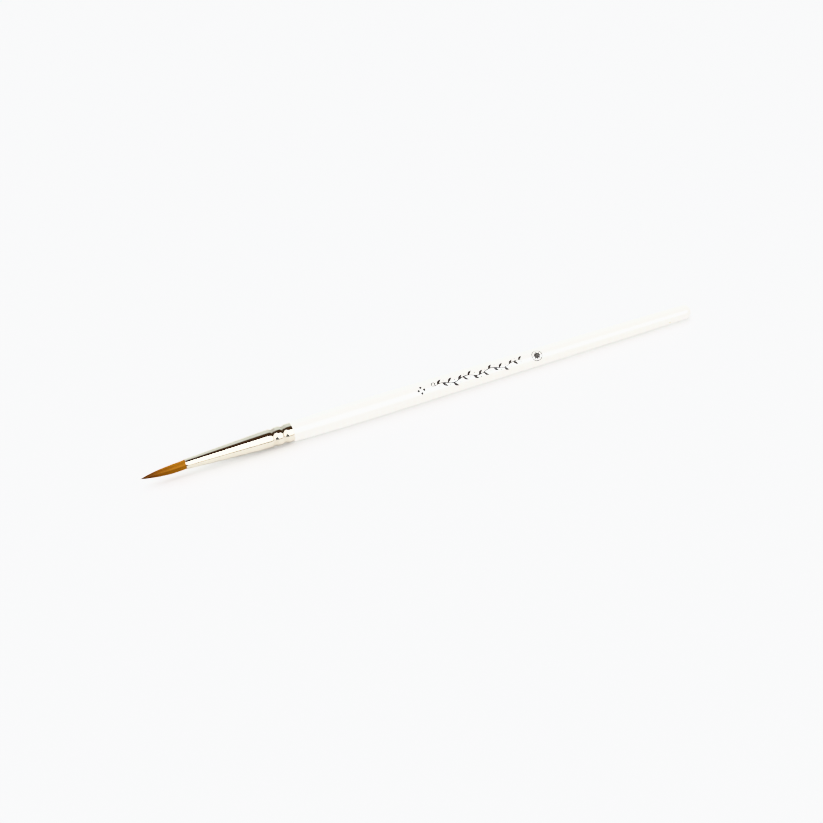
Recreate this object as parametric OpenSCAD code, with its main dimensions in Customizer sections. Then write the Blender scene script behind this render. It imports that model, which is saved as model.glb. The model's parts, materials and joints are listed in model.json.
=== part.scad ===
// Fine detail brush: a size 4 round with a natural hair tuft, a crimped metal ferrule
// and a white lacquered wooden handle.
// It lies level along X with its tip at the -X end and the lowest point of its handle at z = 0.

/* [Overall] */
// Length from the tip of the tuft to the end of the handle
brush_length = 190; // [170:1:220]

/* [Tuft] */
// Length of the hair that shows in front of the ferrule
tuft_length = 14.5; // [12:0.1:20]
// Diameter of the tuft at its fullest
tuft_d = 2.9; // [2.84:0.02:2.98]
// How full the tuft is behind its tip: 2 is lean, 2.5 is plump
tuft_fullness = 2.25; // [2:0.05:2.5]
// Diameter of the rounded root that the tuft bends on
tuft_root_d = 2.68; // [2.5:0.02:2.74]
// Distance of the bending centre in front of the ferrule mouth
bend_ahead = 0.8; // [0.7:0.05:1]

/* [Ferrule] */
// Length of the ferrule
ferrule_length = 34.4; // [32:0.1:40]
// Outside diameter at the mouth
mouth_d = 3.26; // [3.24:0.02:3.5]
// Outside diameter of the band behind the crimps
band_d = 6.04; // [5.8:0.02:6.06]
// Length of the band behind the crimps
band_length = 1.6; // [1.4:0.1:2.4]
// Wall thickness
ferrule_wall = 0.2; // [0.18:0.01:0.22]
// Depth of each crimp groove
groove_depth = 0.3; // [0.15:0.05:0.3]
// Width of each crimp groove
groove_width = 2.4; // [1.6:0.1:2.6]
// Distance between the centres of the two grooves
groove_spacing = 3.35; // [2.8:0.05:3.6]

/* [Handle] */
// Diameter of the belly, the thickest place on the handle
belly_d = 6.8; // [6.6:0.02:7.4]
// Distance of the belly behind the ferrule
belly_behind = 22.2; // [18:0.1:26]
// Diameter of the lacquered handle where it meets the ferrule
neck_d = 6.1; // [6.08:0.02:6.3]
// Diameter of the dome at the end of the handle
tail_d = 4.68; // [4:0.02:5.2]
// Thickness of the lacquer
lacquer = 0.15; // [0.1:0.01:0.18]
// Length of the tenon inside the ferrule
tenon_length = 18; // [14:0.5:19]
// Thickness of the glue around the tenon
glue = 0.08; // [0.05:0.01:0.1]

/* [Roots] */
// Length of the hair held inside the ferrule
root_length = 10; // [9:0.5:11]
// Diameter of the hair bundle at its butt
butt_d = 3.16; // [3.06:0.02:3.22]
// Length of the resin plug
resin_length = 9; // [8:0.5:9.5]
// Thickness of the binding thread
thread_d = 0.18; // [0.12:0.01:0.2]
// Number of turns of the binding thread
thread_turns = 8; // [4:1:9]

/* [Hidden] */
$fn = 96;

// Places along the axis, counted from the tip of the tuft
mouth_at = tuft_length;
ferrule_end = mouth_at + ferrule_length;
bend_at = mouth_at - bend_ahead;
belly_at = ferrule_end + belly_behind;
dome_at = brush_length - tail_d / 2;
groove_half = groove_width / 2;
back_groove_at = ferrule_end - band_length - groove_half;
front_groove_at = back_groove_at - groove_spacing;
crimp_start = front_groove_at - groove_half;
crimp_end = back_groove_at + groove_half;
tenon_start = ferrule_end - tenon_length;
tenon_chamfer = 0.4;

// The tuft is fullest a little in front of its rounded root
root_shoulder = 0.4;
fullest_at = bend_at - root_shoulder;

// The bundle starts clear of the rounded root of the tuft
root_gap = 0.25;
root_start = bend_at + tuft_root_d / 2 + root_gap;
root_end = root_start + root_length;
root_front_r = mouth_d / 2 - ferrule_wall;

// The resin covers the butt of the bundle and the space behind it
resin_over_butt = 5.5;
resin_start = root_end - resin_over_butt;
resin_end = resin_start + resin_length;

// The thread is wound at a pitch a little over its thickness, clear of the hair and the resin
thread_gap = 0.02;
thread_pitch = thread_d + thread_gap;
thread_run = thread_turns * thread_pitch;
thread_behind = 2.6;
thread_start = root_end - thread_behind;
pocket_end_gap = 0.05;
pocket_start = thread_start - thread_d / 2 - pocket_end_gap;
pocket_length = thread_run + thread_d + 2 * pocket_end_gap;

// How finely the curved outlines are stepped
tuft_steps = 20;
crimp_steps = 44;
front_steps = 10;
taper_steps = 28;
arc_steps = 10;
thread_sides = 6;
thread_steps_per_turn = 18;

// How sharply the taper behind the belly turns from level to sloping
taper_softness = 0.08;

rim_round = 0.08;

// Point at a distance along the axis, as a lathe outline holds it
function outline(r, at) = [r, at];

function arc(centre_r, centre_at, radius, from, to) = [
    for (i = [0:arc_steps])
        let (a = from + (to - from) * i / arc_steps)
        outline(centre_r + radius * cos(a), centre_at + radius * sin(a))
];

// Depth of a rolled groove across its width, from 0 at its edges to 1 in its middle
function groove_share(at, groove_at) =
    let (u = (at - groove_at) / groove_half)
    abs(u) < 1 ? (1 + cos(180 * u)) / 2 : 0;

function ferrule_r(at) =
    let (share = min(1, (at - mouth_at) / (crimp_start - mouth_at)))
    mouth_d / 2 + (band_d - mouth_d) / 2 * share
    - groove_depth * (groove_share(at, front_groove_at) + groove_share(at, back_groove_at));

function bore_r(at) = ferrule_r(at) - ferrule_wall;

function crimp_stations() = [
    for (i = [0:crimp_steps]) crimp_start + (crimp_end - crimp_start) * i / crimp_steps
];

function tuft_r(at) = tuft_d / 2 * (1 - pow(max(0, 1 - at / fullest_at), tuft_fullness));

function root_r(at) =
    root_front_r + (butt_d / 2 - root_front_r) * (at - root_start) / (root_end - root_start);

function swell_r(at) =
    belly_d / 2 - (belly_d - neck_d) / 2 * pow((belly_at - at) / (belly_at - ferrule_end), 2);

function taper_share(t) =
    (sqrt(t * t + taper_softness * taper_softness) - taper_softness)
    / (sqrt(1 + taper_softness * taper_softness) - taper_softness);

function taper_r(at) =
    belly_d / 2 - (belly_d - tail_d) / 2 * taper_share((at - belly_at) / (dome_at - belly_at));

// Outline of the handle from the ferrule to the end of the dome, sunk by a depth
function handle_outline(sink) = concat(
    [
        for (i = [0:front_steps - 1])
            let (at = ferrule_end + belly_behind * i / front_steps)
            outline(swell_r(at) - sink, at)
    ],
    [
        for (i = [0:taper_steps - 1])
            let (at = belly_at + (dome_at - belly_at) * i / taper_steps)
            outline(taper_r(at) - sink, at)
    ],
    [
        for (i = [0:arc_steps - 1])
            let (a = 90 * i / arc_steps, r = tail_d / 2 - sink)
            outline(r * cos(a), dome_at + r * sin(a))
    ],
    [outline(0, brush_length - sink)]
);

function reversed(points) = [for (i = [len(points) - 1:-1:0]) points[i]];

// Turns an outline about the brush's axis
module turned(points) {
    translate([-brush_length / 2, 0, belly_d / 2])
        rotate([0, 90, 0])
            rotate_extrude()
                polygon(points);
}

// Tube that follows a helix about the brush's axis
module helix_tube(centre_r, start_at, turns, pitch, tube_d, sides, steps_per_turn) {
    steps = turns * steps_per_turn;
    points = [
        for (i = [0:steps], k = [0:sides - 1])
            let (
                turn = i / steps_per_turn,
                a = 360 * turn,
                b = 360 * k / sides,
                r = centre_r + tube_d / 2 * cos(b)
            )
            [r * cos(a), r * sin(a), start_at + pitch * turn + tube_d / 2 * sin(b)]
    ];
    walls = [
        for (i = [0:steps - 1], k = [0:sides - 1])
            let (
                here = i * sides + k,
                beside = i * sides + (k + 1) % sides
            )
            each [[here, beside, here + sides], [beside, beside + sides, here + sides]]
    ];
    first_end = [for (k = [sides - 1:-1:0]) k];
    last_end = [for (k = [0:sides - 1]) steps * sides + k];
    translate([-brush_length / 2, 0, belly_d / 2])
        rotate([0, 90, 0])
            polyhedron(points, concat(walls, [first_end, last_end]));
}

// Turned wood, with a tenon that follows the inside of the ferrule
module handle_core() {
    color("burlywood")
        turned(concat(
            [
                outline(0, tenon_start),
                outline(bore_r(tenon_start) - glue - tenon_chamfer, tenon_start),
                outline(bore_r(tenon_start + tenon_chamfer) - glue, tenon_start + tenon_chamfer)
            ],
            [for (at = crimp_stations()) outline(bore_r(at) - glue, at)],
            [outline(bore_r(ferrule_end) - glue, ferrule_end)],
            handle_outline(lacquer)
        ));
}

// White coat over all of the handle that shows
module handle_lacquer() {
    color("white")
        turned(concat(
            handle_outline(0),
            reversed(handle_outline(lacquer))
        ));
}

// Seamless tapered tube with a rounded lip and two rolled grooves
module ferrule() {
    lip_r = ferrule_wall / 2;
    color("silver")
        turned(concat(
            arc(bore_r(mouth_at) + lip_r, mouth_at + lip_r, lip_r, -180, 0),
            [for (at = crimp_stations()) outline(ferrule_r(at), at)],
            arc(band_d / 2 - rim_round, ferrule_end - rim_round, rim_round, 0, 90),
            [outline(bore_r(ferrule_end), ferrule_end)],
            [for (at = reversed(crimp_stations())) outline(bore_r(at), at)]
        ));
}

// Film of glue that fills the space between the tenon and the ferrule
module tenon_glue() {
    glue_start = tenon_start + tenon_chamfer;
    color("khaki")
        turned(concat(
            [outline(bore_r(glue_start), glue_start)],
            [for (at = crimp_stations()) outline(bore_r(at), at)],
            [
                outline(bore_r(ferrule_end), ferrule_end),
                outline(bore_r(ferrule_end) - glue, ferrule_end)
            ],
            [for (at = reversed(crimp_stations())) outline(bore_r(at) - glue, at)],
            [outline(bore_r(glue_start) - glue, glue_start)]
        ));
}

// Resin plug around and behind the butt of the hair, with a pocket for the thread
module root_resin() {
    pocket_start_r = root_r(pocket_start);
    pocket_r = butt_d / 2 + thread_d + 2 * thread_gap;
    pocket_end = pocket_start + pocket_length;
    color("goldenrod")
        turned([
            outline(root_r(resin_start), resin_start),
            outline(bore_r(resin_start), resin_start),
            outline(bore_r(resin_end), resin_end),
            outline(0, resin_end),
            outline(0, root_end),
            outline(root_r(root_end), root_end),
            outline(root_r(pocket_end), pocket_end),
            outline(pocket_r, pocket_end),
            outline(pocket_r, pocket_start),
            outline(pocket_start_r, pocket_start)
        ]);
}

// Thread wound around the butt of the hair
module binding_thread() {
    color("ivory")
        helix_tube(
            centre_r = butt_d / 2 + thread_gap + thread_d / 2,
            start_at = thread_start,
            turns = thread_turns,
            pitch = thread_pitch,
            tube_d = thread_d,
            sides = thread_sides,
            steps_per_turn = thread_steps_per_turn
        );
}

// Hair held inside the ferrule
module hair_roots() {
    color("peru")
        turned([
            outline(0, root_start),
            outline(root_r(root_start), root_start),
            outline(root_r(root_end), root_end),
            outline(0, root_end)
        ]);
}

// Free hair, pointed at the tip, on a rounded root that turns in the mouth of the ferrule
module hair_tuft() {
    color("chocolate")
        turned(concat(
            [for (i = [0:tuft_steps]) let (at = fullest_at * i / tuft_steps) outline(tuft_r(at), at)],
            arc(0, bend_at, tuft_root_d / 2, 0, 90)
        ));
}

handle_core();
handle_lacquer();
ferrule();
tenon_glue();
root_resin();
binding_thread();
hair_roots();
hair_tuft();
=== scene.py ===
"""Looks and setting of the fine detail brush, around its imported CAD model.

Metres. The brush lies along X, with the tip of its hair at -X, the end of its handle at +X, and Z up.
Angles about the brush's axis start at the side that faces -Y and turn up over the top.
"""

import json
import math
import random

import bpy
import numpy as np
from mathutils import Matrix, Vector


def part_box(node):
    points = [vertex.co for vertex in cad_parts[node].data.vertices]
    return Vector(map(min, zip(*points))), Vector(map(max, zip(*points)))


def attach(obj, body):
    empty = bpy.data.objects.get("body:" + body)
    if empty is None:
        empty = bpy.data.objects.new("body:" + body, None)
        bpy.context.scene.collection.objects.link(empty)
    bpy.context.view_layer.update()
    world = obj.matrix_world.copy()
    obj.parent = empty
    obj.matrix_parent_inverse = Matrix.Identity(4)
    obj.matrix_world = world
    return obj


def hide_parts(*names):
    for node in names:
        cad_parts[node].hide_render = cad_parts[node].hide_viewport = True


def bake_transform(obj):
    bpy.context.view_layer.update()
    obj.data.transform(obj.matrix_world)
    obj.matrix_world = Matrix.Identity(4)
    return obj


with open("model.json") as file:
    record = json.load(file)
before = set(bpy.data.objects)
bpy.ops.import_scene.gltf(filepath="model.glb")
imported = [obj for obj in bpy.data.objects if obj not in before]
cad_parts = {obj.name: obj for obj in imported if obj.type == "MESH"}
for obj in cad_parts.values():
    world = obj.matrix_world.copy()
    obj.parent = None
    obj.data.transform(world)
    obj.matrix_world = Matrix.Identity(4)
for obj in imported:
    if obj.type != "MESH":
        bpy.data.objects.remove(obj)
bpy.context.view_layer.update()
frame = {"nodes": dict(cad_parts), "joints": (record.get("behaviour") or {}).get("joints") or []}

MM = 0.001
ON_AXIS = 1e-6

# Places that the CAD model gives
BEND = Vector(frame["joints"][0]["pos_m"])
AXIS_Z = BEND.z
TIP_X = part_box("hair_tuft")[0].x
MOUTH_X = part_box("ferrule")[0].x
FERRULE_END_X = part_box("ferrule")[1].x
TAIL_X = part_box("handle_lacquer")[1].x

# Camera
CAMERA_AZIMUTH = -24.71
CAMERA_ELEVATION = 44.20
CAMERA_DISTANCE = 0.5728
CAMERA_LENS = 80
SENSOR_WIDTH = 36
CAMERA_TARGET = Vector((-7.30 * MM, -3.52 * MM, 0))

# Light and floor
SOFTBOX_AZIMUTH = -20
SOFTBOX_LOW = 21
SOFTBOX_HIGH = 74.5
SOFTBOX_DISTANCE = 0.9
SOFTBOX_WIDTH = 2.6
SOFTBOX_POWER = 12.5
SOFTBOX_COLOUR = (1.0, 1.0, 1.0)
GLARE_POWER = 110
GLARE_COLOUR = (0.88, 0.94, 1.0)
GLARE_NEARER = 0.98
OVERHEAD_AZIMUTH = 180
OVERHEAD_ELEVATION = 78
OVERHEAD_DISTANCE = 1.6
OVERHEAD_SIZE = 1.2
OVERHEAD_POWER = 40
OVERHEAD_COLOUR = (0.975, 0.983, 1.0)
FLAG_AZIMUTH = -25
FLAG_ELEVATION = 17
FLAG_DISTANCE = 0.8
FLAG_WIDTH = 0.75
FLAG_HEIGHT = 0.54
FLOOR_RADIUS = 1.5
FLOOR_RINGS = 24
FLOOR_SIDES = 96

# Studio walls, as reflections see them, and the plain background that the camera sees
CEILING = (0.140, 0.100, 0.082, 1)
BACK_WALL = (1.32, 1.42, 1.42, 1)
FRONT_WALL = (1.30, 1.26, 1.20, 1)
SKIRTING = (0.45, 0.33, 0.24, 1)
BACKDROP = (1.6, 1.6, 1.6, 1)

# Turned pieces
FINE_SIDES = 192
HANDLE_STEP = 0.6 * MM
FERRULE_STEP = 0.9 * MM
EDGE_ROUNDING = 0.06 * MM
EDGE_SEGMENTS = 3
SHARP_ANGLE = math.radians(50)
CORNER_COSINE = 0.8
CRIMP_EASING = 16
EASED_BAND = 0.5 * MM

# Hair
HAIR_COUNT = 1300
HAIR_STATIONS = 17
HAIR_SIDES = 5
HAIR_RADIUS = 0.046 * MM
HAIR_TIP_RADIUS = 0.006 * MM
HAIR_INSIDE_MOUTH = 0.8 * MM
HAIR_SEED = 4
HAIR_CLUMPS = 60
HAIR_THICKNESS = (0.75, 1.15)
HAIR_WANDER = 0.05
DEEPEST_HAIR = 0.16
SHORTEST_HAIR = 0.45
CORE_SHARE = 0.9
CORE_SIDES = 96
# Low hair tone of the packed core: painted shade
CORE_SHADE_TONE = 0.12
CORE_BEHIND_TIP = 0.4 * MM
HAIR_SAG = 0.44 * MM
TIP_SAG = 0.16 * MM

# Print on the handle, placed from the back end of the ferrule
PRINT_ANGLE = math.radians(55)
PRINT_LIFT = 0.012 * MM
PRINT_DEPTH = 0.02 * MM
DOTS_AT = FERRULE_END_X + 42.9 * MM
SPRIG_AT = FERRULE_END_X + 47.4 * MM
SPRIG_LENGTH = 30.7 * MM
ROSETTE_AT = FERRULE_END_X + 83.5 * MM

# Bare spot in the lacquer, placed from the end of the handle
SPOT_AT = TAIL_X - 8.9 * MM
SPOT_ANGLE = math.radians(-8)
SPOT_RADIUS = 0.34 * MM


# ---------------------------------------------------------------- meshes

def mesh_object(name, vertices, faces, surface):
    """Object with smooth faces and one material."""
    mesh = bpy.data.meshes.new(name)
    mesh.from_pydata(vertices, [], faces)
    mesh.polygons.foreach_set("use_smooth", [True] * len(mesh.polygons))
    mesh.materials.append(surface)
    mesh.update()
    made = bpy.data.objects.new(name, mesh)
    bpy.context.scene.collection.objects.link(made)
    return made


def set_attribute(piece, name, values):
    """Number that a material reads at each vertex."""
    attribute = piece.data.attributes.new(name, "FLOAT", "POINT")
    attribute.data.foreach_set("value", np.asarray(values, np.float32))


def around(x, r, angle):
    """Point at a distance from the brush's axis, at an angle about it."""
    return (x, -r * math.cos(angle), AXIS_Z + r * math.sin(angle))


def cad_paths(node):
    """Outlines of a turned CAD node as lists of (x, r) points, the one with the widest loose end first."""
    mesh = frame["nodes"][node].data
    places = {}
    for vertex in mesh.vertices:
        below = AXIS_Z - vertex.co.z
        if abs(vertex.co.y) < ON_AXIS and below > -ON_AXIS:
            places[vertex.index] = (round(vertex.co.x, 7), max(0.0, round(below, 7)))
    beside = {}
    for edge in mesh.edges:
        first, second = (places.get(index) for index in edge.vertices)
        if first and second and first[0] != second[0]:
            beside.setdefault(first, set()).add(second)
            beside.setdefault(second, set()).add(first)
    ends = sorted((p for p in beside if len(beside[p]) == 1), key=lambda p: (-p[1], p[0]))
    paths = []
    while ends:
        path = [ends.pop(0)]
        ahead = beside[path[0]] - set(path)
        while ahead:
            path.append(ahead.pop())
            ahead = beside[path[-1]] - set(path)
        ends = [p for p in ends if p not in path]
        paths.append(path)
    return paths


def smoothed(path, longest):
    """Path of (x, r) points with a smooth curve through them, which never overshoots."""
    points = np.array(path)
    gaps = np.hypot(*np.diff(points, axis=0).T)[:, None]
    slopes = np.diff(points, axis=0) / gaps
    before, after = slopes[:-1], slopes[1:]
    steady = before * after > 0
    near, far = 2 * gaps[1:] + gaps[:-1], gaps[1:] + 2 * gaps[:-1]
    inner = np.zeros_like(before)
    weights = (near + far) * np.ones_like(before)
    mean = near / np.where(steady, before, 1) + far / np.where(steady, after, 1)
    inner[steady] = (weights / mean)[steady]
    tangents = np.vstack([slopes[:1], inner, slopes[-1:]])
    curve = []
    for i, gap in enumerate(gaps[:, 0]):
        parts = max(2, math.ceil(gap / longest))
        for t in (np.arange(parts) / parts)[:, None]:
            start_share = (1 + 2 * t) * (1 - t) ** 2
            start_pull = t * (1 - t) ** 2 * gap
            end_share = t * t * (3 - 2 * t)
            end_pull = t * t * (t - 1) * gap
            curve.append(tuple(
                start_share * points[i] + start_pull * tangents[i]
                + end_share * points[i + 1] + end_pull * tangents[i + 1]
            ))
    return curve + [tuple(points[-1])]


def relaxed(path, rounds, until):
    """Closed path eased in front of a place on X, with its sharp corners kept."""
    points = np.array(path)
    for _ in range(rounds):
        before, after = np.roll(points, 1, axis=0), np.roll(points, -1, axis=0)
        way_in, way_out = points - before, after - points
        level = np.sum(way_in * way_out, axis=1)
        gentle = level > CORNER_COSINE * np.hypot(*way_in.T) * np.hypot(*way_out.T)
        gentle &= points[:, 0] < until
        points[gentle] = ((before + 2 * points + after) / 4)[gentle]
    return [tuple(point) for point in points]


def turned(name, outline, surface, sides=FINE_SIDES):
    """Closed solid turned about the brush's axis from an outline of (x, r) points."""
    x, r = np.array(outline).T
    if np.sum(x * np.roll(r, -1) - np.roll(x, -1) * r) > 0:
        outline = outline[::-1]
    vertices = []
    rings = []
    for x, r in outline:
        if r < ON_AXIS:
            rings.append([len(vertices)] * sides)
            vertices.append((x, 0, AXIS_Z))
        else:
            rings.append(list(range(len(vertices), len(vertices) + sides)))
            vertices += [around(x, r, math.tau * k / sides) for k in range(sides)]
    faces = []
    for here, there in zip(rings, rings[1:] + rings[:1]):
        for k in range(sides):
            beside = (k + 1) % sides
            corners = list(dict.fromkeys((here[k], there[k], there[beside], here[beside])))
            if len(corners) > 2:
                faces.append(corners)
    return mesh_object(name, vertices, faces, surface)


def round_edges(piece):
    """Small rounding on the piece's sharp edges."""
    bevel = piece.modifiers.new("rounded edges", "BEVEL")
    bevel.width = EDGE_ROUNDING
    bevel.segments = EDGE_SEGMENTS
    bevel.limit_method = "ANGLE"
    bevel.angle_limit = SHARP_ANGLE


# ---------------------------------------------------------------- node trees

def add(tree, kind, inputs=None, **settings):
    """New shader node, with its settings, and its inputs set or linked."""
    made = tree.nodes.new("ShaderNode" + kind)
    for name, value in settings.items():
        setattr(made, name, value)
    for name, value in (inputs or {}).items():
        if isinstance(value, bpy.types.NodeSocket):
            tree.links.new(value, made.inputs[name])
        else:
            made.inputs[name].default_value = value
    return made


def new_material(name, **numbers):
    """Material with a Principled shader, and that shader's own constant numbers."""
    made = bpy.data.materials.new(name)
    made.use_nodes = True
    shader = made.node_tree.nodes["Principled BSDF"]
    for socket, value in numbers.items():
        shader.inputs[socket.replace("_", " ")].default_value = value
    return made, made.node_tree, shader


def object_coords(tree, stretch=(1, 1, 1)):
    """Place on the piece in metres, with each direction scaled."""
    coords = add(tree, "TexCoord").outputs["Object"]
    return add(tree, "Mapping", {"Vector": coords, "Scale": stretch}).outputs["Vector"]


def noise(tree, vector, scale, detail=2.0, roughness=0.5):
    """Value of a noise with that many features in a metre."""
    return add(tree, "TexNoise", {
        "Vector": vector, "Scale": scale, "Detail": detail, "Roughness": roughness,
    }).outputs["Fac"]


def remap(tree, value, low, high, to_low, to_high, smooth=False):
    """Value spread from one range to another."""
    return add(tree, "MapRange", {
        "Value": value, "From Min": low, "From Max": high, "To Min": to_low, "To Max": to_high,
    }, interpolation_type="SMOOTHSTEP" if smooth else "LINEAR").outputs["Result"]


def math_node(tree, operation, first, second):
    """One sum on two values."""
    return add(tree, "Math", {0: first, 1: second}, operation=operation).outputs["Value"]


def mix(tree, share, first, second):
    """Mix of two colours."""
    return add(tree, "Mix", {0: share, 6: first, 7: second}, data_type="RGBA").outputs[2]


def ramp(tree, value, stops):
    """Colour that runs through stops of (place, colour)."""
    made = add(tree, "ValToRGB", {"Fac": value})
    elements = made.color_ramp.elements
    while len(elements) < len(stops):
        elements.new(0.5)
    for element, (place, colour) in zip(elements, stops):
        element.position = place
        element.color = (*colour, 1)
    return made.outputs["Color"]


def bump(tree, height, depth):
    """Surface direction bent by a height whose full range is that deep."""
    return add(tree, "Bump", {"Height": height, "Distance": depth}).outputs["Normal"]


def attribute(tree, name):
    """Number that the mesh carries at each vertex."""
    return add(tree, "Attribute", attribute_name=name).outputs["Fac"]


# ---------------------------------------------------------------- materials

def lacquer_material():
    """White gloss lacquer: a faint cream tint, orange peel, and a few dust nibs under the gloss."""
    made, tree, shader = new_material("white lacquer", Coat_Weight=0.6, Coat_Roughness=0.05, IOR=1.5)
    place = object_coords(tree)
    along = object_coords(tree, (0.25, 1, 1))
    tint = remap(tree, noise(tree, along, 90), 0.35, 0.65, 0, 1)
    colour = mix(tree, tint, (0.93, 0.92, 0.885, 1), (0.915, 0.902, 0.855, 1))
    peel = noise(tree, place, 700, detail=1)
    grain = noise(tree, along, 2600, detail=2)
    nib_distance = add(tree, "TexVoronoi", {"Vector": place, "Scale": 210}).outputs["Distance"]
    nibs = remap(tree, nib_distance, 0, 0.07, 1, 0, smooth=True)
    rough = math_node(tree, "ADD", peel, math_node(tree, "MULTIPLY", grain, 0.2))
    height = math_node(tree, "ADD", rough, nibs)
    tree.links.new(colour, shader.inputs["Base Color"])
    tree.links.new(remap(tree, peel, 0.3, 0.7, 0.16, 0.26), shader.inputs["Roughness"])
    tree.links.new(bump(tree, height, 0.008 * MM), shader.inputs["Normal"])
    return made


def nickel_material():
    """Polished nickel plate: fine draw lines along the tube, faint handling haze, and metal darker and
    rougher the deeper into the crimps.
    """
    made, tree, shader = new_material("polished nickel plate", Metallic=1.0)
    lines = noise(tree, object_coords(tree, (0.012, 1, 1)), 9000, detail=3, roughness=0.7)
    haze = noise(tree, object_coords(tree, (0.5, 1, 1)), 420, detail=4)
    ripple = noise(tree, object_coords(tree, (0.35, 1, 1)), 600, detail=1)
    groove = attribute(tree, "groove")
    # Base colour darker and rougher the deeper into the crimps, more so where the haze is
    crimp_mask = math_node(tree, "MULTIPLY", groove, remap(tree, haze, 0.4, 0.7, 0.15, 0.6))
    metal = mix(tree, remap(tree, haze, 0.35, 0.7, 0, 1), (0.54, 0.505, 0.44, 1), (0.50, 0.46, 0.39, 1))
    tree.links.new(mix(tree, crimp_mask, metal, (0.30, 0.25, 0.19, 1)), shader.inputs["Base Color"])
    drawn = remap(tree, lines, 0.3, 0.75, 0.045, 0.09)
    roughness = math_node(tree, "ADD", drawn, math_node(tree, "MULTIPLY", crimp_mask, 0.2))
    tree.links.new(roughness, shader.inputs["Roughness"])
    height = math_node(tree, "ADD", math_node(tree, "MULTIPLY", lines, 0.12), ripple)
    tree.links.new(bump(tree, height, 0.004 * MM), shader.inputs["Normal"])
    return made


def hair_material():
    """Natural hair, golden at the ferrule and dark at the tip, each hair a little lighter or darker, with
    painted shade on the hairs that lie deeper and on the packed core.
    """
    made, tree, shader = new_material("natural hair", Roughness=0.5, IOR=1.5, Specular_IOR_Level=0.06)
    along = attribute(tree, "along")
    tone = attribute(tree, "tone")
    colour = ramp(tree, along, [
        (0.0, (0.250, 0.100, 0.010)),
        (0.25, (0.230, 0.086, 0.006)),
        (0.55, (0.175, 0.058, 0.004)),
        (0.80, (0.080, 0.021, 0.003)),
        (1.0, (0.028, 0.009, 0.003)),
    ])
    # A low tone darkens a hair: each hair's own random tone, plus painted shade on deeper hairs and on the
    # core
    shaded = mix(tree, remap(tree, tone, 0, 0.5, 0.75, 0, smooth=True), colour, (0.030, 0.009, 0.002, 1))
    lit = mix(tree, remap(tree, tone, 0.6, 1, 0, 0.5, smooth=True), shaded, (0.38, 0.18, 0.028, 1))
    tree.links.new(lit, shader.inputs["Base Color"])
    scales = noise(tree, object_coords(tree), 26000, detail=1)
    tree.links.new(bump(tree, scales, 0.0015 * MM), shader.inputs["Normal"])
    return made


def ink_material():
    """Dark warm printing ink, a little thin in places."""
    made, tree, shader = new_material("printing ink", Roughness=0.55, Specular_IOR_Level=0.2)
    cover = noise(tree, object_coords(tree), 5200, detail=3, roughness=0.65)
    thin = remap(tree, cover, 0.52, 0.75, 0, 0.6, smooth=True)
    colour = mix(tree, thin, (0.014, 0.010, 0.008, 1), (0.105, 0.075, 0.055, 1))
    tree.links.new(colour, shader.inputs["Base Color"])
    tree.links.new(bump(tree, cover, 0.003 * MM), shader.inputs["Normal"])
    return made


def bare_spot_material():
    """Olive brown wood that shows where the lacquer missed a spot."""
    made, tree, shader = new_material("bare spot", Roughness=0.6)
    fibres = noise(tree, object_coords(tree, (0.2, 1, 1)), 9000, detail=2)
    colour = mix(tree, fibres, (0.34, 0.31, 0.19, 1), (0.52, 0.48, 0.33, 1))
    tree.links.new(colour, shader.inputs["Base Color"])
    tree.links.new(bump(tree, fibres, 0.01 * MM), shader.inputs["Normal"])
    return made


def wood_material():
    """Turned light wood, with grain along the handle."""
    made, tree, shader = new_material("turned wood", Roughness=0.55)
    along = object_coords(tree, (0.06, 1, 1))
    grain = noise(tree, along, 1700, detail=4, roughness=0.6)
    pores = noise(tree, along, 7000, detail=2)
    colour = ramp(tree, grain, [
        (0.3, (0.55, 0.36, 0.19)),
        (0.55, (0.78, 0.60, 0.40)),
        (0.8, (0.84, 0.69, 0.49)),
    ])
    pore_share = remap(tree, pores, 0.55, 0.7, 0, 0.5)
    tree.links.new(mix(tree, pore_share, colour, (0.40, 0.25, 0.12, 1)), shader.inputs["Base Color"])
    tree.links.new(bump(tree, pores, 0.02 * MM), shader.inputs["Normal"])
    return made


def set_glue_material(name, dark, light, roughness):
    """Glue or resin that has set, with cloudy colour and small bubbles."""
    made, tree, shader = new_material(name, Roughness=roughness, IOR=1.5)
    place = object_coords(tree)
    cloud = noise(tree, place, 900, detail=3)
    bubbles = add(tree, "TexVoronoi", {"Vector": place, "Scale": 3500}).outputs["Distance"]
    tree.links.new(mix(tree, cloud, (*dark, 1), (*light, 1)), shader.inputs["Base Color"])
    tree.links.new(bump(tree, bubbles, 0.015 * MM), shader.inputs["Normal"])
    return made


def thread_material():
    """Pale thread with the fine slant of its twist."""
    made, tree, shader = new_material("twisted thread", Roughness=0.75)
    twist = add(tree, "TexWave", {
        "Vector": object_coords(tree), "Scale": 5200, "Distortion": 1.5, "Detail": 2.0,
    }, wave_type="BANDS", bands_direction="DIAGONAL").outputs["Fac"]
    colour = mix(tree, twist, (0.68, 0.63, 0.52, 1), (0.90, 0.87, 0.78, 1))
    tree.links.new(colour, shader.inputs["Base Color"])
    tree.links.new(bump(tree, twist, 0.01 * MM), shader.inputs["Normal"])
    return made


def paper_material():
    """Pale matt studio paper."""
    made, tree, shader = new_material("studio paper", Roughness=0.9, Specular_IOR_Level=0.2)
    place = object_coords(tree)
    fibres = noise(tree, place, 1400, detail=3)
    cloud = noise(tree, place, 6, detail=2)
    fine = math_node(tree, "MULTIPLY", fibres, 0.4)
    tone = math_node(tree, "ADD", fine, math_node(tree, "MULTIPLY", cloud, 0.6))
    colour = mix(tree, tone, (0.80, 0.80, 0.805, 1), (0.83, 0.83, 0.83, 1))
    tree.links.new(colour, shader.inputs["Base Color"])
    tree.links.new(bump(tree, fibres, 0.01 * MM), shader.inputs["Normal"])
    return made


# ---------------------------------------------------------------- handle and ferrule

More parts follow.
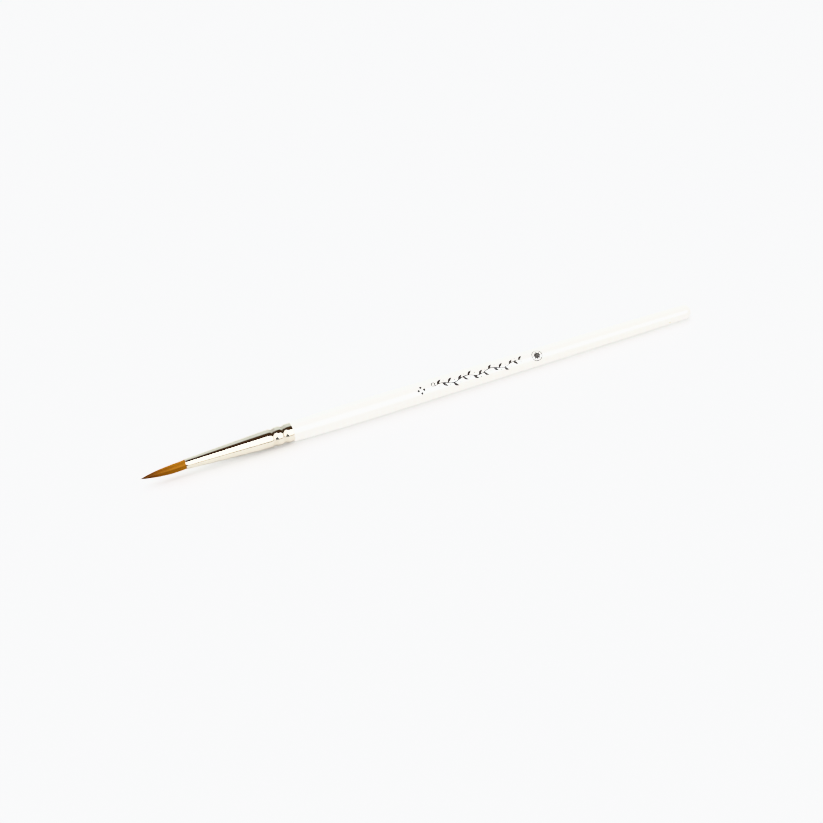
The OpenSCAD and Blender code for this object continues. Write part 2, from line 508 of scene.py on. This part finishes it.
HANDLE_OUTLINE, HANDLE_INSIDE = cad_paths("handle_lacquer")


def handle_radius(x):
    """Radius of the lacquered handle, from the ferrule to where its end starts to round off."""
    places, radii = np.array(HANDLE_OUTLINE).T
    return float(np.interp(x, places, radii))


def make_handle():
    """Lacquer coat, hollow where the wooden core is."""
    outside = smoothed(HANDLE_OUTLINE, HANDLE_STEP)
    handle = turned("lacquered_handle", outside + HANDLE_INSIDE[::-1], lacquer_material())
    round_edges(handle)
    return handle


def make_ferrule():
    """Plated tube with its two crimps, and a mark of how deep each place of them is."""
    outline = cad_paths("ferrule")[0]
    band_r = max(r for _, r in outline)
    wall = np.ptp([r for x, r in outline if abs(x - FERRULE_END_X) < ON_AXIS])
    crimp_x = min(x for x, r in outline if band_r - r < ON_AXIS)
    eased = relaxed(smoothed(outline, FERRULE_STEP), CRIMP_EASING, crimp_x + EASED_BAND)
    ferrule = turned("ferrule_shell", eased, nickel_material())
    depths = []
    for vertex in ferrule.data.vertices:
        x, y, z = vertex.co
        depth = band_r - math.hypot(y, z - AXIS_Z)
        depths.append(depth / wall if x > crimp_x else 0)
    set_attribute(ferrule, "groove", np.clip(depths, 0, 1))
    round_edges(ferrule)
    return ferrule


# ---------------------------------------------------------------- hair

def tuft_envelope():
    """Places and radii of the tuft's outside, from its tip into the mouth of the ferrule."""
    path = cad_paths("hair_tuft")[0]
    fullest = max(range(len(path)), key=lambda i: path[i][1])
    places, radii = np.array(path[:fullest + 1]).T
    inside = MOUTH_X + HAIR_INSIDE_MOUTH
    return np.append(places, inside), np.append(radii, radii[-1])


def share_along(x):
    """0 at the mouth of the ferrule, 1 at the tip of the hair."""
    return np.clip((MOUTH_X - x) / (MOUTH_X - TIP_X), 0, 1)


def droop(x):
    """How far the hair hangs below the axis, more towards its tip."""
    share = share_along(x)
    return HAIR_SAG * (1 - (1 - share) ** 5) + TIP_SAG * share ** 6


def make_hairs(surface):
    """Separate hairs laid along the outside of the tuft, each one a closed tapered tube."""
    random.seed(HAIR_SEED)
    places, radii = tuft_envelope()
    clumps = [random.random() for _ in range(HAIR_CLUMPS)]
    vertices = []
    faces = []
    alongs = []
    tones_and_shade = []
    for _ in range(HAIR_COUNT):
        angle = random.uniform(0, math.tau)
        depth = random.choice((0.0, 0.0, random.uniform(0, DEEPEST_HAIR)))
        reach = 1 - (1 - SHORTEST_HAIR) * random.random() ** 2.2
        wander = random.gauss(0, HAIR_WANDER)
        thickness = random.uniform(*HAIR_THICKNESS)
        clump = clumps[int(angle / math.tau * HAIR_CLUMPS)]
        # Hairs that lie deeper get a lower tone: painted shade on top of each hair's own random tone
        tone = min(1, max(0, 0.45 * clump + 0.55 * random.random() - 1.2 * depth))
        first = len(vertices)
        for i in range(HAIR_STATIONS):
            t = i / (HAIR_STATIONS - 1)
            x = places[-1] + (TIP_X - places[-1]) * reach * t
            thin = HAIR_TIP_RADIUS + (HAIR_RADIUS * thickness - HAIR_TIP_RADIUS) * (1 - t ** 2.5)
            r = max(0, float(np.interp(x, places, radii)) * (1 - depth) - thin)
            turn = angle + wander * t
            lowered = AXIS_Z - droop(x)
            for k in range(HAIR_SIDES):
                side = math.tau * k / HAIR_SIDES
                vertices.append((
                    x,
                    -r * math.cos(turn) - thin * math.cos(side),
                    lowered + r * math.sin(turn) + thin * math.sin(side),
                ))
            alongs += [share_along(x)] * HAIR_SIDES
            tones_and_shade += [tone] * HAIR_SIDES
        for i in range(HAIR_STATIONS - 1):
            here = first + i * HAIR_SIDES
            for k in range(HAIR_SIDES):
                beside = (k + 1) % HAIR_SIDES
                faces.append((
                    here + k, here + beside,
                    here + HAIR_SIDES + beside, here + HAIR_SIDES + k,
                ))
        last = first + (HAIR_STATIONS - 1) * HAIR_SIDES
        faces.append([first + k for k in reversed(range(HAIR_SIDES))])
        faces.append([last + k for k in range(HAIR_SIDES)])
    hairs = mesh_object("tuft_hairs", vertices, faces, surface)
    set_attribute(hairs, "along", alongs)
    set_attribute(hairs, "tone", tones_and_shade)
    return hairs


def make_hair_core(surface):
    """Packed hair under the outer hairs, painted darker as shade."""
    places, radii = tuft_envelope()
    outline = [(x, CORE_SHARE * r) for x, r in zip(places, radii)]
    outline[0] = (outline[0][0] + CORE_BEHIND_TIP, 0)
    outline.append((places[-1], 0))
    core = turned("tuft_core", outline, surface, sides=CORE_SIDES)
    for vertex in core.data.vertices:
        vertex.co.z -= droop(vertex.co.x)
    set_attribute(core, "along", [share_along(v.co.x) for v in core.data.vertices])
    # The core's low tone is painted shade
    set_attribute(core, "tone", [CORE_SHADE_TONE] * len(core.data.vertices))
    return core


# ---------------------------------------------------------------- print

class Print:
    """Thin closed strokes that follow the handle, drawn in a flat plan: along the brush, and around it."""

    across = 4

    def __init__(self, start_x, angle=PRINT_ANGLE):
        self.start_x = start_x
        self.angle = angle
        self.vertices = []
        self.faces = []

    def on_handle(self, along, up, lift):
        """Place of a point of the plan, that much above the lacquer."""
        x = self.start_x + along
        r = handle_radius(x)
        return around(x, r + lift, self.angle + up / r)

    def stroke(self, points, half_widths):
        """Closed ribbon along the points, with that half width at each of them."""
        points = np.array(points)
        ways = np.gradient(points, axis=0)
        ways /= np.hypot(*ways.T)[:, None]
        first = len(self.vertices)
        ring = 2 * (self.across + 1)
        for (along, up), (way_along, way_up), half in zip(points, ways, half_widths):
            offsets = [half * (2 * i / self.across - 1) for i in range(self.across + 1)]
            sides = [(along - way_up * s, up + way_along * s) for s in offsets]
            self.vertices += [self.on_handle(*side, PRINT_LIFT) for side in sides]
            self.vertices += [self.on_handle(*side, -PRINT_DEPTH) for side in reversed(sides)]
        for i in range(len(points) - 1):
            here = first + i * ring
            for k in range(ring):
                beside = (k + 1) % ring
                self.faces.append((here + k, here + ring + k, here + ring + beside, here + beside))
        last = first + (len(points) - 1) * ring
        self.faces.append([first + k for k in range(ring)])
        self.faces.append([last + k for k in reversed(range(ring))])

    def dot(self, along, up, radius, steps=12):
        """Round dot."""
        angles = [math.pi * (i + 0.15) / (steps + 0.3) for i in range(steps + 1)]
        self.stroke(
            [(along - radius * math.cos(a), up) for a in angles],
            [radius * math.sin(a) for a in angles],
        )

    def leaf(self, along, up, heading, length, half, curl=0.5, steps=14):
        """Leaf that starts at a point and curls as it grows."""
        points = [(along, up)]
        for i in range(steps):
            way = heading + curl * i / steps
            points.append((
                points[-1][0] + length / steps * math.cos(way),
                points[-1][1] + length / steps * math.sin(way),
            ))
        swell = [math.sin(math.pi * (i / steps) ** 0.8) for i in range(steps + 1)]
        self.stroke(points, [half * (0.06 + part) for part in swell])

    def spiral(self, along, up, start, turns, outer, inner, half, steps=40):
        """Curl that winds in from its outer end."""
        points = []
        for i in range(steps + 1):
            t = i / steps
            r = outer + (inner - outer) * t
            a = start + math.tau * turns * t
            points.append((along + r * math.cos(a), up + r * math.sin(a)))
        swell = [math.sin(math.pi * (0.1 + 0.85 * i / steps)) for i in range(steps + 1)]
        self.stroke(points, [half * (0.35 + 0.65 * part) for part in swell])

    def finished(self, name, surface):
        """Object that holds all the strokes."""
        return mesh_object(name, self.vertices, self.faces, surface)


def make_dots(surface):
    """Four dots for the brush's size."""
    dots = Print(DOTS_AT)
    spread = 0.95 * MM
    radius = 0.46 * MM
    for along, up in ((-spread, 0), (spread, 0), (0, -spread), (0, spread)):
        dots.dot(along, up, radius)
    return dots.finished("size_dots", surface)


def make_sprig(surface):
    """Leafy sprig along the handle."""
    sprig = Print(SPRIG_AT)
    steps = 120
    waves = 3.5
    sway = 0.5 * MM
    stem_half = 0.19 * MM
    leaves = 17
    leaf_half = 0.40 * MM
    leaf_lean = 0.95
    leaf_curl = -0.6
    berry = 0.22 * MM
    berry_ahead = 0.02
    berry_off = 0.8 * MM

    def stem_up(t):
        return sway * math.sin(math.tau * waves * t)

    places = [i / steps for i in range(steps + 1)]
    sprig.stroke(
        [(SPRIG_LENGTH * t, stem_up(t)) for t in places],
        [stem_half * (0.5 + 0.5 * math.sin(math.pi * min(1, 0.2 + 0.75 * t))) for t in places],
    )
    for i in range(leaves):
        t = (i + 0.6) / (leaves + 0.2)
        side = 1 if i % 2 == 0 else -1
        length = (2.5 - 0.6 * t) * MM
        heading, curl = side * leaf_lean, side * leaf_curl
        sprig.leaf(SPRIG_LENGTH * t, stem_up(t), heading, length, leaf_half, curl)
        sprig.dot(SPRIG_LENGTH * (t + berry_ahead), stem_up(t) - side * berry_off, berry)
    sprig.spiral(-0.1 * MM, 0.8 * MM, -math.pi / 2, -1.1, 0.8 * MM, 0.3 * MM, 0.2 * MM)
    return sprig.finished("sprig_print", surface)


def make_rosette(surface):
    """Round flower in a ring."""
    rosette = Print(ROSETTE_AT)
    petals = 8
    petal_start = 0.3 * MM
    petal_length = 1.1 * MM
    petal_half = 0.3 * MM
    petal_lean = -0.2
    heart = 0.34 * MM
    ring = 1.72 * MM
    ring_half = 0.17 * MM
    ring_steps = 48
    for i in range(petals):
        a = math.tau * i / petals
        root = (petal_start * math.cos(a), petal_start * math.sin(a))
        rosette.leaf(*root, a + petal_lean, petal_length, petal_half)
    rosette.dot(0, 0, heart)
    angles = [math.tau * i / ring_steps for i in range(ring_steps + 1)]
    rosette.stroke([(ring * math.cos(a), ring * math.sin(a)) for a in angles], [ring_half] * len(angles))
    return rosette.finished("rosette_print", surface)


def make_bare_spot():
    """Spot near the end of the handle that the lacquer missed."""
    spot = Print(SPOT_AT, SPOT_ANGLE)
    spot.dot(0, 0, SPOT_RADIUS)
    return spot.finished("bare_spot", bare_spot_material())


# ---------------------------------------------------------------- setting

def resting_floor():
    """Slope of the floor along X and its height at x = 0, for a brush that rests on its belly and tail."""
    places, radii = np.array(HANDLE_OUTLINE).T
    undersides = AXIS_Z - radii
    belly = int(undersides.argmin())
    tail = int(np.flatnonzero(places <= TAIL_X - radii)[-1])
    slope = (undersides[tail] - undersides[belly]) / (places[tail] - places[belly])
    return slope, float((undersides - slope * places).min())


def make_floor():
    """Paper that the brush rests on, with finer rings near the brush. Gives the way up from it."""
    slope, height = resting_floor()
    vertices = [(0, 0, height)]
    for i in range(1, FLOOR_RINGS + 1):
        r = FLOOR_RADIUS * (i / FLOOR_RINGS) ** 2
        for k in range(FLOOR_SIDES):
            a = math.tau * k / FLOOR_SIDES
            x = r * math.cos(a)
            vertices.append((x, r * math.sin(a), height + slope * x))
    faces = [(0, 1 + k, 1 + (k + 1) % FLOOR_SIDES) for k in range(FLOOR_SIDES)]
    for i in range(FLOOR_RINGS - 1):
        here = 1 + i * FLOOR_SIDES
        for k in range(FLOOR_SIDES):
            beside = (k + 1) % FLOOR_SIDES
            faces.append((here + k, here + FLOOR_SIDES + k, here + FLOOR_SIDES + beside, here + beside))
    mesh_object("floor", vertices, faces, paper_material())
    return Vector((-math.sin(math.atan(slope)), 0, math.cos(math.atan(slope))))


def looking_at(target, back, up):
    """Place and direction of something that looks at a target, from a distance along its back direction."""
    depth = back.normalized()
    across = up.cross(depth).normalized()
    turn = Matrix((across, depth.cross(across), depth)).transposed().to_4x4()
    return Matrix.Translation(target + back) @ turn


def direction(azimuth, elevation):
    """Way from the brush to something at an azimuth and an elevation in degrees."""
    a, e = math.radians(azimuth), math.radians(elevation)
    return Vector((math.sin(a) * math.cos(e), -math.cos(a) * math.cos(e), math.sin(e)))


def make_camera(up):
    """Camera that stands upright on the floor."""
    data = bpy.data.cameras.new("camera")
    data.lens = CAMERA_LENS
    data.sensor_width = SENSOR_WIDTH
    camera = bpy.data.objects.new("camera", data)
    bpy.context.scene.collection.objects.link(camera)
    back = CAMERA_DISTANCE * direction(CAMERA_AZIMUTH, CAMERA_ELEVATION)
    camera.matrix_world = looking_at(CAMERA_TARGET, back, up)
    bpy.context.scene.camera = camera


def area_light(name, azimuth, elevation, distance, width, height, power, colour):
    """Flat light that faces the brush."""
    data = bpy.data.lights.new(name, "AREA")
    data.shape = "RECTANGLE"
    data.size = width
    data.size_y = height
    data.energy = power
    data.color = colour
    light = bpy.data.objects.new(name, data)
    bpy.context.scene.collection.objects.link(light)
    back = distance * direction(azimuth, elevation)
    light.matrix_world = looking_at(Vector((0, 0, 0)), back, Vector((0, 0, 1)))
    light.visible_camera = False
    return light


def make_lights():
    """Wide softbox on the camera's side, stronger where it is mirrored, and a soft overhead light."""
    height = 2 * SOFTBOX_DISTANCE * math.tan(math.radians((SOFTBOX_HIGH - SOFTBOX_LOW) / 2))
    middle = (SOFTBOX_HIGH + SOFTBOX_LOW) / 2
    softbox = area_light(
        "softbox", SOFTBOX_AZIMUTH, middle, SOFTBOX_DISTANCE,
        SOFTBOX_WIDTH, height, SOFTBOX_POWER, SOFTBOX_COLOUR,
    )
    softbox.visible_glossy = False
    glare = area_light(
        "softbox_glare", SOFTBOX_AZIMUTH, middle, GLARE_NEARER * SOFTBOX_DISTANCE,
        GLARE_NEARER * SOFTBOX_WIDTH, GLARE_NEARER * height, GLARE_POWER, GLARE_COLOUR,
    )
    glare.visible_diffuse = False
    overhead = area_light(
        "overhead", OVERHEAD_AZIMUTH, OVERHEAD_ELEVATION, OVERHEAD_DISTANCE,
        OVERHEAD_SIZE, OVERHEAD_SIZE, OVERHEAD_POWER, OVERHEAD_COLOUR,
    )
    overhead.visible_glossy = False


def make_flag():
    """Dark card in front of the softbox, seen only in reflections."""
    made, tree, shader = new_material("black card", Roughness=0.9)
    cloud = noise(tree, object_coords(tree), 30)
    colour = mix(tree, cloud, (0.010, 0.008, 0.006, 1), (0.022, 0.018, 0.014, 1))
    tree.links.new(colour, shader.inputs["Base Color"])
    across = FLAG_WIDTH / 2
    up = FLAG_HEIGHT / 2
    corners = [(-across, -up, 0), (across, -up, 0), (across, up, 0), (-across, up, 0)]
    flag = mesh_object("flag", corners, [(0, 1, 2, 3)], made)
    back = FLAG_DISTANCE * direction(FLAG_AZIMUTH, FLAG_ELEVATION)
    flag.matrix_world = looking_at(Vector((MOUTH_X, 0, 0)), back, Vector((0, 0, 1)))
    flag.visible_camera = False
    flag.visible_diffuse = False
    flag.visible_shadow = False


def make_room():
    """Studio that reflections see, pale but for a dark ceiling and skirting, behind a plain backdrop."""
    world = bpy.data.worlds.new("studio")
    bpy.context.scene.world = world
    world.use_nodes = True
    tree = world.node_tree
    way = add(tree, "SeparateXYZ", {"Vector": add(tree, "TexCoord").outputs["Generated"]}).outputs
    front = math_node(tree, "MULTIPLY", way["Y"], -1)
    over = math_node(tree, "DIVIDE", math_node(tree, "ARCTAN2", way["Z"], front), math.pi)
    high = remap(tree, way["Z"], 0.40, 0.46, 0, 1, smooth=True)
    ahead_of_wall = remap(tree, over, 0.65, 0.675, 1, 0, smooth=True)
    dark = math_node(tree, "MULTIPLY", high, ahead_of_wall)
    ahead = remap(tree, front, -0.1, 0.1, 0, 1, smooth=True)
    walls = mix(tree, ahead, BACK_WALL, FRONT_WALL)
    near_horizon = remap(tree, way["Z"], 0.05, 0.10, 1, 0, smooth=True)
    skirting = math_node(tree, "MULTIPLY", near_horizon, ahead)
    low = mix(tree, skirting, walls, SKIRTING)
    mirrored = mix(tree, dark, low, CEILING)
    direct = add(tree, "LightPath").outputs["Is Camera Ray"]
    seen = mix(tree, direct, mirrored, BACKDROP)
    tree.links.new(seen, tree.nodes["Background"].inputs["Color"])


# ---------------------------------------------------------------- assembly

def finish_hidden_nodes(hair):
    """Materials of the CAD pieces inside the brush."""
    surfaces = {
        "handle_core": wood_material(),
        "tenon_glue": set_glue_material("set glue", (0.62, 0.52, 0.28), (0.84, 0.77, 0.52), 0.5),
        "root_resin": set_glue_material("amber resin", (0.45, 0.24, 0.06), (0.74, 0.52, 0.22), 0.2),
        "binding_thread": thread_material(),
        "hair_roots": hair,
    }
    for name, surface in surfaces.items():
        for slot in frame["nodes"][name].material_slots:
            slot.material = surface


def settle(piece, body, slot, *nodes):
    """Lets a piece ride on a body, with the CAD nodes it stands for hidden. Its slot is not used."""
    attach(piece, body)
    if nodes:
        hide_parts(*nodes)


def settle_hair(piece):
    """Fixes the hair's place into its mesh and hides the CAD tuft it stands for."""
    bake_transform(piece)
    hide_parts("hair_tuft")


up = make_floor()
make_camera(up)
make_lights()
make_flag()
make_room()
bpy.context.scene.view_settings.view_transform = "Khronos PBR Neutral"

settle(make_handle(), "brush", "white_lacquer", "handle_lacquer")
settle(make_ferrule(), "brush", "nickel_plate", "ferrule")

hair = hair_material()
settle_hair(make_hairs(hair))
settle_hair(make_hair_core(hair))
finish_hidden_nodes(hair)

ink = ink_material()
settle(make_dots(ink), "brush", "white_lacquer")
settle(make_sprig(ink), "brush", "white_lacquer")
settle(make_rosette(ink), "brush", "white_lacquer")
settle(make_bare_spot(), "brush", "wood")
